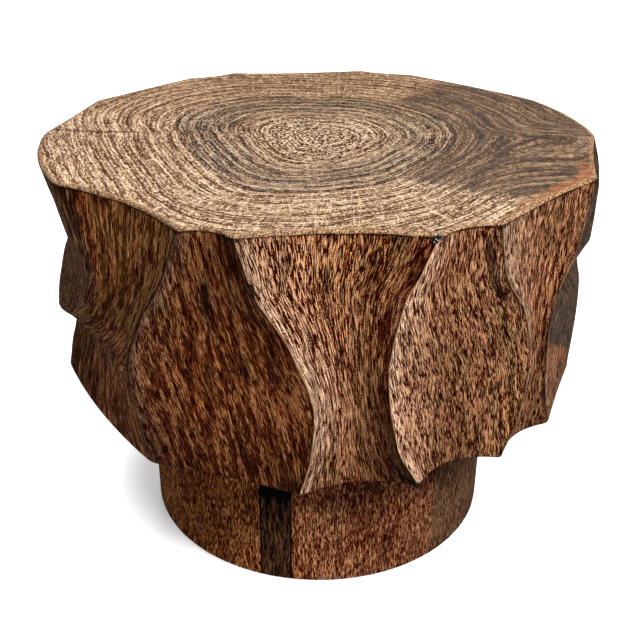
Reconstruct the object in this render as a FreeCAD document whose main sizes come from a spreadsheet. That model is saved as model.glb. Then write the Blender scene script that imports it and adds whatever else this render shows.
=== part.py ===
import FreeCAD, Part
import math
import os
import re

import Sketcher

# A low drum table carved from a log: a scooped drum on a turned plinth, filled cracks and hidden fixings.
# Millimetres. Z is up, the front is -Y, and the origin is the centre of the underside, on the floor.

os.makedirs("parts", exist_ok=True)
doc = FreeCAD.newDocument("carved_side_table")
sheet = doc.addObject("Spreadsheet::Sheet", "sizes")

driving_sizes = {
    "table_height": 463,
    "drum_height": 267,
    "rim_radius": 303.5,
    "lower_rim_inset": 2.5,
    "plinth_radius": 207,
    "foot_chamfer": 3,
    "tenon_radius": 130,
    "tenon_height": 40,
    "tenon_clearance": 0.25,
    "felt_thickness": 3,
    "felt_inset": 5,
    "stripe_width": 37,
    "stripe_depth": 9,
    "glue_gap": 0.1,
    "screw_circle_radius": 88,
    "screw_length": 175,
    "screw_bite": 60,
    "screw_radius": 5,
    "head_flats": 17,
    "head_height": 7,
    "flange_radius": 12.5,
    "flange_thickness": 2.5,
    "bore_clearance": 0.2,
    "counterbore_radius": 14,
    "knot_radius": 11,
    "knot_height": 18,
    "crack_radius": 6,
    "crack_height": 16,
    "tip_radius": 10,
    "tip_height": 16,
    "cut_overrun": 5,
}
for row, (alias, value) in enumerate(driving_sizes.items(), start=1):
    sheet.set(f"A{row}", alias)
    sheet.set(f"B{row}", str(value))
    sheet.setAlias(f"B{row}", alias)
doc.recompute()

stripe_azimuth = -13
screw_count = 3
first_screw_azimuth = 60
crack_height_share = 0.82
band_count = 12


# The drum's scooped panels, from the front left round to the right. Each has the ridge on its left, as
# pairs of height share and azimuth in degrees, and then its hollow, as pairs of height share and the
# hollow's depth as a share of the rim radius, below the straight line between its two ridges.
panel_shares = {
    "front left leaf": (
        [(0, -33.5), (0.18, -37), (0.36, -38.2), (0.6, -33.8), (0.8, -27.8), (1, -23.9)],
        [(0, 0.012), (0.45, 0.022), (0.85, 0.026), (1, 0.03)],
    ),
    "front waist": (
        [(0, -3.1), (0.15, -1.2), (0.32, -0.5), (0.6, -4.6), (0.8, -10.6), (1, -13.1)],
        [(0, 0.052), (0.45, 0.048), (0.85, 0.036), (1, 0.034)],
    ),
    "front right leaf": (
        [(0, 19.2), (0.18, 14.6), (0.5, 12), (0.75, 13.9), (1, 19)],
        [(0, 0.066), (0.45, 0.03), (0.85, 0.03), (1, 0.028)],
    ),
    "right waist": (
        [(0, 38.9), (0.18, 43.6), (0.36, 44.6), (0.6, 41.2), (0.8, 34.2), (1, 31)],
        [(0, 0.042), (0.45, 0.03), (0.85, 0.02), (1, 0.012)],
    ),
    "right lens": (
        [(0, 56), (0.2, 52), (0.48, 49.7), (0.66, 51.6), (0.8, 58), (1, 65)],
        [(0, 0.004), (0.45, 0.01), (0.85, 0.01), (1, 0.01)],
    ),
    "right notch": (
        [(0, 82), (0.27, 80.5), (0.4, 83), (0.52, 94), (0.62, 80), (0.7, 75), (0.85, 74), (1, 88)],
        [(0, 0.03), (0.45, 0.03), (0.8, 0.012), (1, 0.008)],
    ),
    "back right leaf": (
        [(0, 108), (0.5, 100), (1, 112)],
        [(0, 0.03), (0.45, 0.025), (0.85, 0.02), (1, 0.008)],
    ),
    "back right waist": (
        [(0, 131), (0.36, 137), (0.75, 129), (1, 123.5)],
        [(0, 0.045), (0.45, 0.04), (0.85, 0.03), (1, 0.014)],
    ),
    "back leaf": (
        [(0, 153), (0.5, 146), (0.75, 149), (1, 157)],
        [(0, 0.02), (0.45, 0.025), (0.85, 0.03), (1, 0.038)],
    ),
    "back waist": (
        [(0, 177), (0.36, 182.5), (0.75, 175), (1, 170)],
        [(0, 0.045), (0.45, 0.045), (0.85, 0.036), (1, 0.034)],
    ),
    "back left leaf": (
        [(0, 198), (0.5, 191.5), (0.75, 196), (1, 203.3)],
        [(0, 0.03), (0.45, 0.025), (0.85, 0.03), (1, 0.038)],
    ),
    "back left waist": (
        [(0, 222), (0.36, 228), (0.75, 220), (1, 215)],
        [(0, 0.045), (0.45, 0.04), (0.85, 0.03), (1, 0.014)],
    ),
    "left leaf": (
        [(0, 243), (0.5, 237), (0.75, 239), (1, 244)],
        [(0, 0.03), (0.45, 0.025), (0.85, 0.022), (1, 0.022)],
    ),
    "left teardrop": (
        [(0, 255), (0.24, 252), (0.45, 262), (0.6, 258), (0.85, 262), (1, 270.5)],
        [(0, 0.03), (0.2, 0.008), (0.4, -0.015), (0.47, -0.032), (0.6, -0.042), (0.8, -0.049), (1, -0.039)],
    ),
    "left waist": (
        [(0, 276.6), (0.1, 266), (0.2, 263), (0.3, 268), (0.42, 287), (0.55, 305), (0.75, 311.5), (1, 303)],
        [(0, -0.028), (0.2, -0.004), (0.45, 0.02), (0.85, 0.03), (1, 0.044)],
    ),
}


def sized(expression):
    """The value, in millimetres, of an expression in the sheet's aliases."""
    return float(sheet.evalExpression(expression))


def named(expression):
    """The same expression with the sheet's name before each alias, as other objects write it."""
    return re.sub(r"[a-z]+(_[a-z]+)+", lambda found: "sizes." + found.group(0), expression)


def feature(kind, name, expressions):
    """A primitive whose sizes and place are bound to the sheet."""
    made = doc.addObject(kind, name)
    for target, expression in expressions.items():
        made.setExpression(target, named(expression))
    return made


def facing(azimuth):
    """Expressions that turn a piece about the upright axis, from the front to an azimuth."""
    return {"Placement.Rotation.Angle": f"{azimuth} * 1 deg"}


def standing(radius, azimuth, height):
    """Expressions that place a piece at a radius, an azimuth and a height, and turn it to face outwards."""
    return {
        "Placement.Base.x": f"({radius}) * sin({azimuth})",
        "Placement.Base.y": f"-({radius}) * cos({azimuth})",
        "Placement.Base.z": height,
        **facing(azimuth),
    }


def joined(name, pieces):
    """The pieces fused into one."""
    fused = doc.addObject("Part::MultiFuse", name)
    fused.Shapes = pieces
    return fused


def combined(kind, name, base, tool):
    """A cut or a common of two pieces."""
    result = doc.addObject(kind, name)
    result.Base = base
    result.Tool = tool
    return result


def turned_body(name, points):
    """A turned solid from a closed half profile, given as pairs of radius and height."""
    body = doc.addObject("PartDesign::Body", name)
    sketch = body.newObject("Sketcher::SketchObject", name + "_profile")
    upright = next(item for item in body.Origin.OriginFeatures if item.Role == "XZ_Plane")
    sketch.AttachmentSupport = [(upright, "")]
    sketch.MapMode = "FlatFace"
    corners = [FreeCAD.Vector(sized(across), sized(up), 0) for across, up in points]
    for start, end in zip(corners, corners[1:] + corners[:1]):
        sketch.addGeometry(Part.LineSegment(start, end))
    for index, (across, up) in enumerate(points):
        before = (index - 1) % len(points)
        sketch.addConstraint(Sketcher.Constraint("Coincident", before, 2, index, 1))
        for kind, axis, expression in (("DistanceX", -2, across), ("DistanceY", -1, up)):
            if expression == "0":
                sketch.addConstraint(Sketcher.Constraint("PointOnObject", index, 1, axis))
            else:
                rule = Sketcher.Constraint(kind, -1, 1, index, 1, sized(expression))
                number = sketch.addConstraint(rule)
                sketch.setExpression(f"Constraints[{number}]", named(expression))
    revolution = body.newObject("PartDesign::Revolution", name + "_turning")
    revolution.Profile = sketch
    revolution.ReferenceAxis = (sketch, ["V_Axis"])
    revolution.Angle = 360
    body.Tip = revolution
    return body


def steady_curve(points, share):
    """A smooth curve through the points, without overshoot, read at one height share."""
    spans = list(zip(points, points[1:]))
    slopes = [(end[1] - start[1]) / (end[0] - start[0]) for start, end in spans]
    tangents = [slopes[0]]
    for before, after in zip(slopes, slopes[1:]):
        tangents.append(0 if before * after <= 0 else 2 * before * after / (before + after))
    tangents.append(slopes[-1])
    index = next(number for number, (start, end) in enumerate(spans) if share <= end[0])
    start, end = spans[index]
    width = end[0] - start[0]
    along = (share - start[0]) / width
    rising = along * along * (3 - 2 * along)
    leaving = width * tangents[index] * along * (1 - along) ** 2
    arriving = width * tangents[index + 1] * along * along * (along - 1)
    return start[1] * (1 - rising) + end[1] * rising + leaving + arriving


def around(radius, azimuth, height):
    """The point at a radius and an azimuth, which is 0 at the front and grows to the right."""
    angle = math.radians(azimuth)
    return FreeCAD.Vector(radius * math.sin(angle), -radius * math.cos(angle), height)


def rim_radius_at(share):
    """The radius that the drum's ridges reach at one height share, as an expression."""
    return f"(rim_radius - lower_rim_inset * {1 - share})"


def drum_outline(share):
    """The drum's closed outline at one height share: one shallow arc for each scooped panel."""
    height = sized("table_height") - sized("drum_height") * (1 - share)
    radius = sized(rim_radius_at(share))
    panels = list(panel_shares.values())
    azimuths = [steady_curve(ridge, share) for ridge, hollow in panels]
    azimuths.append(azimuths[0] + 360)
    arcs = []
    for (ridge, hollow), left, right in zip(panels, azimuths, azimuths[1:]):
        chord_radius = radius * math.cos(math.radians((right - left) / 2))
        depth = sized("rim_radius") * steady_curve(hollow, share)
        start = around(radius, left, height)
        bottom = around(chord_radius - depth, (left + right) / 2, height)
        end = around(radius, right, height)
        arcs.append(Part.Arc(start, bottom, end).toShape())
    return Part.Wire(arcs)


def make_drum_form():
    """The drum before any cut: a loft through outlines at even heights, ruled from each to the next."""
    outlines = []
    for number in range(band_count + 1):
        outline = doc.addObject("Part::Feature", f"drum_outline_{number}")
        outline.Shape = drum_outline(number / band_count)
        outlines.append(outline)
    form = doc.addObject("Part::Loft", "drum_form")
    form.Sections = outlines
    form.Solid = True
    form.Ruled = True
    return form


def make_filler(name, size_name, ridge_azimuth, radius, height):
    """An eight-sided plug of dark filler in a fault of the drum's ridge, and the space that it fills."""
    pieces = []
    for role, allowance in (("plug", "0"), ("space", "glue_gap")):
        place = standing(radius, ridge_azimuth, f"{height} - {size_name}_height / 2 - {allowance}")
        block = feature(
            "Part::Prism",
            f"{name}_{role}",
            {
                "Circumradius": f"{size_name}_radius + {allowance}",
                "Height": f"{size_name}_height + {allowance} * 2",
                **place,
            },
        )
        block.Polygon = 8
        pieces.append(block)
    plug, space = pieces
    return combined("Part::Common", name, drum_form, plug), space


def make_screw(number, azimuth):
    """A flanged hexagon lag screw, from its head in the plinth to its end in the drum."""
    name = f"lag_screw_{number}"
    head = feature(
        "Part::Prism",
        name + "_head",
        {"Circumradius": "head_flats / 2 / cos(30)", "Height": "head_height"},
    )
    head.Polygon = 6
    flange = feature(
        "Part::Cylinder",
        name + "_flange",
        {
            "Radius": "flange_radius",
            "Height": "flange_thickness",
            "Placement.Base.z": "head_height",
        },
    )
    shank = feature(
        "Part::Cylinder",
        name + "_shank",
        {
            "Radius": "screw_radius",
            "Height": "screw_length",
            "Placement.Base.z": "head_height + flange_thickness",
        },
    )
    screw = joined(name, [head, flange, shank])
    place = standing("screw_circle_radius", azimuth, f"{screw_seat} - flange_thickness - head_height")
    for target, expression in place.items():
        screw.setExpression(target, named(expression))
    return screw


def make_screw_spaces(number, azimuth):
    """A lag screw's counterbore in the plinth, its bore, and its pilot hole in the drum."""
    hole_radius = {"Radius": "screw_radius + bore_clearance"}
    counterbore = feature(
        "Part::Cylinder",
        f"counterbore_{number}",
        {
            "Radius": "counterbore_radius",
            "Height": screw_seat,
            **standing("screw_circle_radius", azimuth, "0"),
        },
    )
    bore = feature(
        "Part::Cylinder",
        f"bore_{number}",
        {
            **hole_radius,
            "Height": f"{drum_underside} + tenon_height",
            **standing("screw_circle_radius", azimuth, "0"),
        },
    )
    pilot = feature(
        "Part::Cylinder",
        f"pilot_{number}",
        {
            **hole_radius,
            "Height": "tenon_height + screw_bite + bore_clearance",
            **standing("screw_circle_radius", azimuth, drum_underside),
        },
    )
    return counterbore, bore, pilot


drum_underside = "(table_height - drum_height)"
screw_seat = f"({drum_underside} + tenon_height + screw_bite - screw_length)"
screw_azimuths = [first_screw_azimuth + 360 * number / screw_count for number in range(screw_count)]

# The drum's form, and its three filled faults, which all lie on ridges.
drum_form = make_drum_form()
front_ridge = panel_shares["front waist"][0]
knot_ridge = panel_shares["front right leaf"][0]
rim_knot_filler, knot_space = make_filler(
    "rim_knot_filler", "knot", steady_curve(knot_ridge, 1), rim_radius_at(1), "table_height"
)
ridge_crack_filler, crack_space = make_filler(
    "ridge_crack_filler",
    "crack",
    steady_curve(front_ridge, crack_height_share),
    rim_radius_at(crack_height_share),
    f"{drum_underside} + drum_height * {crack_height_share}",
)
ridge_tip_filler, tip_space = make_filler(
    "ridge_tip_filler", "tip", steady_curve(knot_ridge, 0), rim_radius_at(0), drum_underside
)

# The screws and the holes that take them.
screws = []
counterbores = []
bores = []
pilots = []
for number, azimuth in enumerate(screw_azimuths, start=1):
    screws.append(make_screw(number, azimuth))
    counterbore, bore, pilot = make_screw_spaces(number, azimuth)
    counterbores.append(counterbore)
    bores.append(bore)
    pilots.append(pilot)

# The drum, with the socket for the plinth's tenon in its underside.
socket = feature(
    "Part::Cylinder",
    "socket",
    {
        "Radius": "tenon_radius + tenon_clearance",
        "Height": "tenon_height + tenon_clearance + cut_overrun",
        "Placement.Base.z": f"{drum_underside} - cut_overrun",
    },
)
drum_spaces = joined("drum_spaces", [socket, knot_space, crack_space, tip_space, *pilots])
carved_drum = combined("Part::Cut", "carved_drum", drum_form, drum_spaces)

# The plinth, turned with a chamfered foot and a round tenon, and the dark stripe let into its front.
plinth_form = turned_body(
    "plinth_form",
    [
        ("0", "felt_thickness"),
        ("plinth_radius - foot_chamfer", "felt_thickness"),
        ("plinth_radius", "felt_thickness + foot_chamfer"),
        ("plinth_radius", drum_underside),
        ("tenon_radius", drum_underside),
        ("tenon_radius", f"{drum_underside} + tenon_height"),
        ("0", f"{drum_underside} + tenon_height"),
    ],
)


def make_stripe_block(name, allowance):
    """An upright block at the plinth's front that holds the stripe, with an allowance all round."""
    half_width = f"(stripe_width / 2 + {allowance})"
    inner_radius = f"(plinth_radius - stripe_depth - {allowance})"
    sine = f"sin({stripe_azimuth})"
    cosine = f"cos({stripe_azimuth})"
    reach = f"({inner_radius} + stripe_depth + cut_overrun)"
    return feature(
        "Part::Box",
        name,
        {
            "Length": f"{half_width} * 2",
            "Width": f"{reach} - {inner_radius}",
            "Height": drum_underside,
            "Placement.Base.x": f"{reach} * {sine} - {half_width} * {cosine}",
            "Placement.Base.y": f"-{reach} * {cosine} - {half_width} * {sine}",
            **facing(stripe_azimuth),
        },
    )


plinth_stripe = combined("Part::Common", "plinth_stripe", plinth_form, make_stripe_block("stripe_block", "0"))
stripe_space = make_stripe_block("stripe_space", "glue_gap")
plinth_spaces = joined("plinth_spaces", [stripe_space, *counterbores, *bores])
plinth = combined("Part::Cut", "plinth", plinth_form, plinth_spaces)

# The felt disc under the plinth, which hides the screw heads.
base_felt = feature(
    "Part::Cylinder",
    "base_felt",
    {"Radius": "plinth_radius - felt_inset", "Height": "felt_thickness"},
)

sub_parts = [
    carved_drum,
    plinth,
    plinth_stripe,
    rim_knot_filler,
    ridge_crack_filler,
    ridge_tip_filler,
    base_felt,
    *screws,
]
for piece in sub_parts:
    piece.Label = piece.Name
doc.recompute()

for item in doc.Objects:
    if "Invalid" in item.State or "Error" in item.State:
        raise RuntimeError(f"{item.Name} did not recompute: {item.State}")
for piece in sub_parts:
    if piece.Shape.isNull() or not piece.Shape.isValid():
        raise RuntimeError(f"{piece.Label} has no valid shape")
for piece in sub_parts:
    piece.Shape.exportStep(f"parts/{piece.Label}.step")
    box = piece.Shape.optimalBoundingBox()
    solids = len(piece.Shape.Solids)
    print(f"{piece.Label}: {solids} solid, {piece.Shape.Volume / 1e6:.4f} litres, z {box.ZMin:.2f} to {box.ZMax:.2f}")
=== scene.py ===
import itertools
import math

import bpy
import numpy as np
from mathutils import Matrix, Vector


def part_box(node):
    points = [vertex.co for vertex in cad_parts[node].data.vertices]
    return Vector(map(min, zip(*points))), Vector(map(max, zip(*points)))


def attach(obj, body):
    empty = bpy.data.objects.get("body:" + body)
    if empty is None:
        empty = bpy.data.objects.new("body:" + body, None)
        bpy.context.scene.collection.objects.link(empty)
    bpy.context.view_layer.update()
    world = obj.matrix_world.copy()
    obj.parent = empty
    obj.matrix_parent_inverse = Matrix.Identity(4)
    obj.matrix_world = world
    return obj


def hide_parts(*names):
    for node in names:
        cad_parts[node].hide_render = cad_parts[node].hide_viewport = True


# A low drum table carved from a log. Metres, Z up, front -Y. Azimuths grow from the front to the right.

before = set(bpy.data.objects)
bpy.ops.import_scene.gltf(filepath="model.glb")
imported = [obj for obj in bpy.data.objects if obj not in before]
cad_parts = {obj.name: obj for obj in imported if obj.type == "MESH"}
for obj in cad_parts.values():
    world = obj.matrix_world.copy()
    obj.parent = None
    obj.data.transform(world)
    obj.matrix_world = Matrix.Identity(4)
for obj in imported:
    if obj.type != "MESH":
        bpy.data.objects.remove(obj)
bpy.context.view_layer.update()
drumLow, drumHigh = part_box("carved_drum")
plinthLow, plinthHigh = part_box("plinth")
stripeLow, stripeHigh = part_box("plinth_stripe")
feltLow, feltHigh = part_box("base_felt")
print("frame loaded:", len(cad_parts), "nodes")


# Numbers and curves

def steadyCurve(points, shares):
    # smooth curve through the points without overshoot: cubic pieces whose slopes are harmonic means
    across, up = np.array(points, float).T
    slopes = np.diff(up) / np.diff(across)
    before, after = slopes[:-1], slopes[1:]
    total = np.where(before + after == 0, 1, before + after)
    middle = np.where(before * after > 0, 2 * before * after / total, 0)
    tangents = np.concatenate([slopes[:1], middle, slopes[-1:]])
    index = np.clip(np.searchsorted(across, shares, side="right") - 1, 0, len(slopes) - 1)
    width = across[index + 1] - across[index]
    along = (shares - across[index]) / width
    rising = along * along * (3 - 2 * along)
    leaving = width * tangents[index] * along * (1 - along) ** 2
    arriving = width * tangents[index + 1] * along * along * (along - 1)
    return up[index] * (1 - rising) + up[index + 1] * rising + leaving + arriving


def smoothStep(low, high, value):
    # 0 below low, 1 above high and an S curve between
    along = np.clip((value - low) / (high - low), 0, 1)
    return along * along * (3 - 2 * along)


def softNoise(points, cell, seed):
    # value noise from -1 to 1: random numbers on a lattice of cells, joined by S curves along each axis
    side = 48
    lattice = np.random.default_rng(seed).uniform(-1, 1, (side, side, side))
    scaled = points / np.array(cell)
    base = np.floor(scaled).astype(int)
    along = scaled - base
    along = along * along * (3 - 2 * along)
    total = np.zeros(points.shape[:-1])
    for corner in itertools.product((0, 1), repeat=3):
        step = np.array(corner)
        weight = np.prod(np.where(step == 1, along, 1 - along), axis=-1)
        spot = (base + step) % side
        total += weight * lattice[spot[..., 0], spot[..., 1], spot[..., 2]]
    return total


def paint(red, green, blue):
    # a colour picked on screen, from 0 to 255, as the linear values that shaders use
    screen = np.array([red, green, blue]) / 255
    linear = np.where(screen < 0.04045, screen / 12.92, ((screen + 0.055) / 1.055) ** 2.4)
    return (*linear.tolist(), 1.0)


# Objects and meshes from rings

def newObject(name, data):
    # an object for a mesh, a light or a camera, placed in the scene
    made = bpy.data.objects.new(name, data)
    bpy.context.scene.collection.objects.link(made)
    return made


def ringShell(name, rings, lowPole, highPole):
    # closed skin over rings of points, each counter-clockwise from above, from the low pole to the high one
    rows, columns = rings.shape[:2]
    numbers = np.arange(rows * columns).reshape(rows, columns)
    following = np.roll(numbers, -1, axis=1)
    low = np.full(columns, rows * columns)
    quads = np.stack([numbers[:-1], following[:-1], following[1:], numbers[1:]], -1).reshape(-1, 4)
    lowFan = np.stack([low, following[0], numbers[0]], -1)
    highFan = np.stack([low + 1, numbers[-1], following[-1]], -1)
    points = np.concatenate([rings.reshape(-1, 3), [lowPole], [highPole]])
    mesh = bpy.data.meshes.new(name)
    mesh.from_pydata(points.tolist(), [], quads.tolist() + lowFan.tolist() + highFan.tolist())
    mesh.polygons.foreach_set("use_smooth", np.ones(len(mesh.polygons), bool))
    mesh.set_sharp_from_angle(angle=math.radians(48))
    mesh.update()
    return newObject(name, mesh)


def cornerValues(grid):
    # values on a grid of (rows, panels, columns + 1, parts), read at each face corner in ringShell's order
    low, high = grid[:-1], grid[1:]
    quads = np.stack([low[:, :, :-1], low[:, :, 1:], high[:, :, 1:], high[:, :, :-1]], 3)
    parts = grid.shape[-1]
    first, last = grid[0], grid[-1]
    lowFan = np.stack([first[:, :-1], first[:, 1:], first[:, :-1]], 2)
    highFan = np.stack([last[:, :-1], last[:, :-1], last[:, 1:]], 2)
    return np.concatenate([piece.reshape(-1, parts) for piece in (quads, lowFan, highFan)])


def setCorners(piece, name, kind, values):
    # a value for each face corner, kept as an attribute
    layer = piece.data.attributes.new(name, kind, "CORNER")
    layer.data.foreach_set("value" if kind == "FLOAT" else "color", values.astype(np.float32).ravel())


def setGrain(piece, values):
    # the UV map that the grain runs along, in metres across and up
    layer = piece.data.uv_layers.new(name="grain")
    layer.data.foreach_set("uv", values.astype(np.float32).ravel())


def setFinish(piece, materials, rowOfMaterial, columns):
    # a material for each row of faces, with the poles' fans in the first and last rows' materials
    for material in materials:
        piece.data.materials.append(material)
    rows = np.concatenate([np.repeat(rowOfMaterial, columns),
                           np.full(columns, rowOfMaterial[0]), np.full(columns, rowOfMaterial[-1])])
    piece.data.polygons.foreach_set("material_index", rows.astype(np.int32))


def onCircle(radius, angles):
    # points on a circle, at azimuths from the front to the right
    return np.stack([radius * np.sin(angles), -radius * np.cos(angles)], -1)


def inPlan(across, deep):
    # points from values across and deep, either of which may be one number
    return np.stack(np.broadcast_arrays(across, deep), -1)


def atHeights(outlines, heights):
    # rings of points: outlines (rows or 1, columns, 2) at one height, or at a height for each row
    heights = np.reshape(heights, (-1, 1, 1))
    shape = (max(len(outlines), len(heights)), outlines.shape[1])
    level = np.broadcast_to(heights, (*shape, 1))
    return np.concatenate([np.broadcast_to(outlines, (*shape, 2)), level], -1)


def closeOutline(grid):
    # repeats each row's first point after its last one
    return np.concatenate([grid, grid[:, :1]], axis=1)


# Shader building

class Signal:
    # a node's output; sums, products and quotients with it add the math nodes that work them out
    def __init__(self, wire, socket):
        self.wire, self.socket = wire, socket

    def __add__(self, other):
        return self.wire.maths("ADD", self, other)

    def __sub__(self, other):
        return self.wire.maths("SUBTRACT", self, other)

    def __rsub__(self, other):
        return self.wire.maths("SUBTRACT", other, self)

    def __mul__(self, other):
        return self.wire.maths("MULTIPLY", self, other)

    def __truediv__(self, other):
        return self.wire.maths("DIVIDE", self, other)

    def __neg__(self):
        return self.wire.maths("MULTIPLY", self, -1.0)

    def __abs__(self):
        return self.wire.maths("ABSOLUTE", self)


class Wiring:
    # adds nodes to a tree and joins them; most helpers return the new node's output as a signal
    def __init__(self, tree):
        self.tree = tree

    def feed(self, socket, value):
        if isinstance(value, Signal):
            self.tree.links.new(value.socket, socket)
        else:
            socket.default_value = value

    def add(self, kind, inputs=(), **settings):
        node = self.tree.nodes.new(kind)
        for name, value in settings.items():
            setattr(node, name, value)
        for name, value in dict(inputs).items():
            self.feed(node.inputs[name], value)
        return node

    def read(self, output, kind, inputs=(), **settings):
        # adds a node and returns one of its outputs
        return Signal(self, self.add(kind, inputs, **settings).outputs[output])

    def maths(self, operation, *values, clamp=False):
        return self.read(0, "ShaderNodeMath", enumerate(values), operation=operation, use_clamp=clamp)

    def clamp(self, value):
        return self.maths("ADD", value, 0.0, clamp=True)

    def vectors(self, operation, *values):
        output = 1 if operation == "LENGTH" else 0
        return self.read(output, "ShaderNodeVectorMath", enumerate(values), operation=operation)

    def join(self, across=0.0, deep=0.0, up=0.0):
        return self.read(0, "ShaderNodeCombineXYZ", {"X": across, "Y": deep, "Z": up})

    def split(self, vector):
        node = self.add("ShaderNodeSeparateXYZ", {"Vector": vector})
        return [Signal(self, socket) for socket in node.outputs]

    def stretched(self, vector, factors, detail):
        # noise over a vector multiplied by a factor along each axis
        return self.noise(self.vectors("MULTIPLY", vector, factors), detail=detail)

    def noise(self, vector, scale=1.0, detail=2.0, roughness=0.5, lean=0.0):
        values = {"Vector": vector, "Scale": scale, "Detail": detail, "Roughness": roughness,
                  "Distortion": lean}
        return self.read(0, "ShaderNodeTexNoise", values)

    def between(self, value, low, high, start=0.0, end=1.0):
        # the value's place between low and high, as an S curve from start to end
        values = {"Value": value, "From Min": low, "From Max": high, "To Min": start, "To Max": end}
        return self.read(0, "ShaderNodeMapRange", values, interpolation_type="SMOOTHSTEP")

    def below(self, value, low, high):
        # 1 below low, 0 above high and an S curve between
        return self.between(value, low, high, 1.0, 0.0)

    def mix(self, share, first, second):
        return self.read(2, "ShaderNodeMix", {0: share, 6: first, 7: second}, data_type="RGBA")

    def scale(self, colour, value):
        # a colour made lighter or darker by a value
        return self.vectors("MULTIPLY", colour, self.join(value, value, value))

    def ramp(self, value, stops):
        # a colour read between stops of (place, colour)
        node = self.add("ShaderNodeValToRGB", {"Fac": value})
        elements = node.color_ramp.elements
        elements[0].position, elements[0].color = stops[0]
        elements[1].position, elements[1].color = stops[-1]
        for place, colour in stops[1:-1]:
            elements.new(place).color = colour
        return Signal(self, node.outputs["Color"])

    def attribute(self, name, output="Fac"):
        return self.read(output, "ShaderNodeAttribute", attribute_name=name)

    def place(self):
        return self.read("Object", "ShaderNodeTexCoord")

    def grain(self):
        return self.read("UV", "ShaderNodeUVMap", uv_map="grain")

    def group(self, tree, **inputs):
        node = self.add("ShaderNodeGroup", inputs, node_tree=tree)
        return {socket.name: Signal(self, socket) for socket in node.outputs}


def newGroup(name, inputs, outputs):
    # an empty node group with its sockets, its wiring, its inputs and a call that joins its outputs
    tree = bpy.data.node_groups.new(name, "ShaderNodeTree")
    for way, labels in (("INPUT", inputs), ("OUTPUT", outputs)):
        for label in labels:
            kind = label if label in ("Vector", "Color") else "Float"
            tree.interface.new_socket(label, in_out=way, socket_type="NodeSocket" + kind)
    wire = Wiring(tree)
    given = {socket.name: Signal(wire, socket) for socket in tree.nodes.new("NodeGroupInput").outputs}
    result = tree.nodes.new("NodeGroupOutput").inputs

    def finish(**values):
        for label, value in values.items():
            wire.feed(result[label], value)

    return tree, wire, given, finish


def newMaterial(name, roughness, specular):
    # a material with its Principled shader, and the wiring to feed it
    material = bpy.data.materials.new(name)
    material.use_nodes = True
    shader = material.node_tree.nodes["Principled BSDF"]
    shader.inputs["Roughness"].default_value = roughness
    shader.inputs["Specular IOR Level"].default_value = specular
    return material, Wiring(material.node_tree), shader.inputs


def addRelief(wire, surface, height, depth):
    wire.feed(surface["Normal"], wire.read(0, "ShaderNodeBump", {"Height": height, "Distance": depth}))


def colourStops(*stops):
    # stops of (place, red, green, blue) for a colour ramp
    return [(place, paint(*colour)) for place, *colour in stops]


def makeGrainFibres():
    # fibres along the grain: stretched noise in broad and narrow strands, with a few dark pores between them
    tree, wire, given, finish = newGroup(
        "grainFibres", ("Vector", "Width", "Length", "Waver", "Finer"), ("Fibre", "Pore", "Band", "Cast"))
    across, up, deep = wire.split(given["Vector"])
    sway = wire.noise(given["Vector"], scale=30, detail=1) - 0.5
    columns = (across + sway * given["Waver"]) / given["Width"]
    rows = up / given["Length"]

    def strands(thinner, shorter, seed, detail, roughness=0.5):
        vector = wire.join(columns * thinner, rows * shorter, seed)
        return wire.noise(vector, detail=detail, roughness=roughness)

    total = wire.noise(given["Vector"], scale=850, detail=0) * 0.9
    # each strand's weight, and what it gains where the fibres are to be finer
    for strand, weight, gain in (
        (strands(1.0, 1.0, deep, 1.5, 0.55), 3.0, -1.5),
        (strands(0.45, 0.4, 5.1, 1), 1.4, -1.4),
        (strands(1.7, 1.8, 7.3, 0), 1.3, 1.5),
        (strands(2.9, 2.2, 9.9, 0), 0.0, 1.4),
    ):
        total = total + strand * (given["Finer"] * gain + weight)
    finish(Fibre=wire.between(total, 2.68, 3.92), Pore=wire.between(strands(0.8, 0.6, 3.1, 1), 0.6, 0.68),
           Band=wire.between(strands(0.17, 0.3, 12.3, 2), 0.38, 0.62),
           Cast=wire.between(strands(0.09, 0.12, 15.7, 2), 0.38, 0.62))
    return tree


def makeToneDrift():
    # slow cloudy change of tone through the wood, drawn out along the trunk
    tree, wire, given, finish = newGroup("toneDrift", ("Vector", "Size", "Seed"), ("Tone", "Streak"))
    size, seed = [wire.join(given[name], given[name], given[name]) for name in ("Size", "Seed")]
    scaled = wire.vectors("DIVIDE", given["Vector"], size)
    moved = wire.vectors("ADD", wire.vectors("MULTIPLY", scaled, (1.0, 1.0, 0.45)), seed)
    finish(Tone=wire.between(wire.noise(moved, detail=2), 0.36, 0.64),
           Streak=wire.between(wire.stretched(moved, (3.2, 3.2, 1.0), 2.5), 0.58, 0.7))
    return tree


# from the gaps between the fibres to their crests: the wood's olive and amber casts, and a pale one for
# painted sheen
woodTones = {
    "olive": colourStops((0.0, 36, 7, 0), (0.22, 56, 20, 0), (0.5, 98, 51, 13), (0.78, 152, 96, 44),
                         (1.0, 206, 150, 90)),
    "amber": colourStops((0.0, 46, 2, 0), (0.22, 66, 11, 0), (0.5, 114, 43, 14), (0.78, 182, 101, 54),
                         (1.0, 238, 166, 108)),
    "paintedSheen": colourStops((0.0, 46, 2, 0), (0.3, 98, 37, 16), (0.6, 174, 110, 76), (1.0, 255, 217, 184)),
}


def makeWoodColour():
    # the wood's colour from its fibres: olive or amber by the red value, and the pale ramp laid over it as
    # painted sheen where a flank faces the light
    tree, wire, given, finish = newGroup("woodColour", ("Fibre", "Red", "Pale"), ("Color",))
    olive, amber, paintedSheen = [wire.ramp(given["Fibre"], stops) for stops in woodTones.values()]
    finish(Color=wire.mix(given["Pale"], wire.mix(given["Red"], olive, amber), paintedSheen))
    return tree


grainFibres = makeGrainFibres()
toneDrift = makeToneDrift()
woodColour = makeWoodColour()
print("shader groups made:", len(bpy.data.node_groups))


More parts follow.
